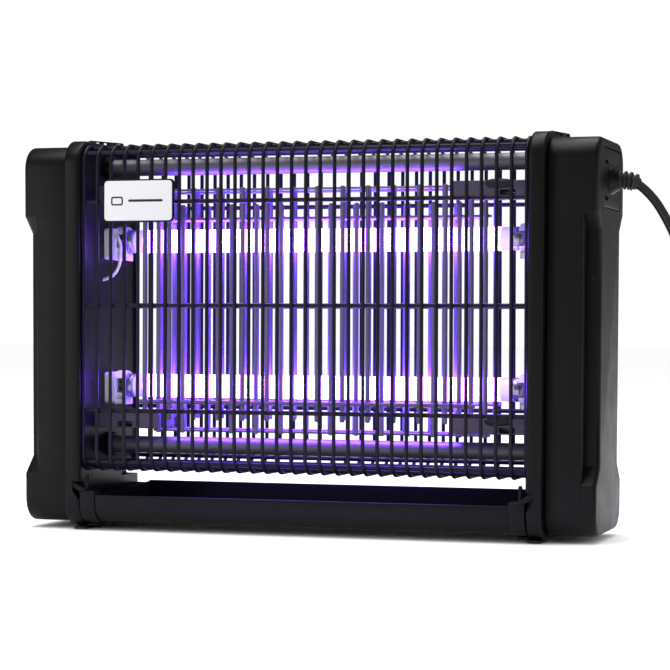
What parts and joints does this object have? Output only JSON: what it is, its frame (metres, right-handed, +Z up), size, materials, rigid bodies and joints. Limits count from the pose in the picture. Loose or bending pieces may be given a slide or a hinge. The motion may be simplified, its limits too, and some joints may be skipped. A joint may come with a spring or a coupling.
{
  "type": "electric insect zapper",
  "caption": "Electric bug zapper: glowing lamps and a high-voltage rod grid in a black wire guard between two end housings, with a slide-out catch tray.",
  "frame": {"origin": "bottom centre of the body on the surface it stands on, mains lead and its coil left out", "axes": "+X towards the housing that the mains lead leaves, +Y to the back, +Z up"},
  "size_m": [0.5792, 0.1563, 0.27],
  "materials": {
    "black_plastic": "fine satin moulded ABS",
    "black_wire": "black coated steel wire",
    "rubber": "matte black",
    "label_white": "plain white plate",
    "white_plastic": "white moulded plastic",
    "insulator": "grey insulating plastic",
    "tube_metal": "satin tube",
    "grid_steel": "plated steel rod",
    "fixing_steel": "zinc plated",
    "cap_metal": "satin cap",
    "lamp_glass": "glowing violet-white lamp glass",
    "pin_brass": "nickel plated brass",
    "circuit_green": "circuit board",
    "winding": "lacquered windings",
    "capacitor_case": "dark sleeve"
  },
  "bodies": {
    "body": {"left_end_frame": "black_plastic", "right_end_frame": "black_plastic", "left_end_cover": "black_plastic", "right_end_cover": "black_plastic", "terminal_cover": "black_plastic", "label_backing": "black_plastic", "cord_tie": "black_plastic", "wire_guard": "black_wire", "front_left_foot": "rubber", "front_right_foot": "rubber", "rear_left_foot": "rubber", "rear_right_foot": "rubber", "strain_relief": "rubber", "mains_cord": "rubber", "cord_coil": "rubber", "cord_tail": "rubber", "plug_body": "rubber", "label_plate": "label_white", "upper_left_lampholder": "white_plastic", "upper_right_lampholder": "white_plastic", "lower_left_lampholder": "white_plastic", "lower_right_lampholder": "white_plastic", "terminal_block": "white_plastic", "left_lamp_leads": "white_plastic", "right_lamp_leads": "white_plastic", "upper_left_grid_bracket": "insulator", "upper_right_grid_bracket": "insulator", "lower_left_grid_bracket": "insulator", "lower_right_grid_bracket": "insulator", "upper_tie_tube": "tube_metal", "lower_tie_tube": "tube_metal", "front_live_grid": "grid_steel", "rear_live_grid": "grid_steel", "front_return_grid": "grid_steel", "rear_return_grid": "grid_steel", "tie_rod": "fixing_steel", "left_rod_nut": "fixing_steel", "right_rod_nut": "fixing_steel", "plug_left_pin": "pin_brass", "plug_right_pin": "pin_brass", "circuit_board": "circuit_green", "hv_transformer": "winding", "lamp_ballast": "winding", "first_capacitor": "capacitor_case", "second_capacitor": "capacitor_case"},
    "upper_lamp": {"upper_lamp_tube": "lamp_glass", "upper_lamp_left_cap": "cap_metal", "upper_lamp_right_cap": "cap_metal"},
    "lower_lamp": {"lower_lamp_tube": "lamp_glass", "lower_lamp_left_cap": "cap_metal", "lower_lamp_right_cap": "cap_metal"},
    "tray": {"catch_tray": "black_plastic", "left_tray_end": "black_plastic", "right_tray_end": "black_plastic"}
  },
  "joints": [
    {"name": "upper_lamp_turn", "type": "hinge", "parent": "body", "child": "upper_lamp", "pos_m": [0, 0, 0.1988], "axis": [1, 0, 0], "range_deg": [0, 90]},
    {"name": "lower_lamp_turn", "type": "hinge", "parent": "body", "child": "lower_lamp", "pos_m": [0, 0, 0.098], "axis": [1, 0, 0], "range_deg": [0, 90]},
    {"name": "tray_slide", "type": "slide", "parent": "body", "child": "tray", "axis": [0, -1, 0], "range_m": [0, 0.11]}
  ]
}
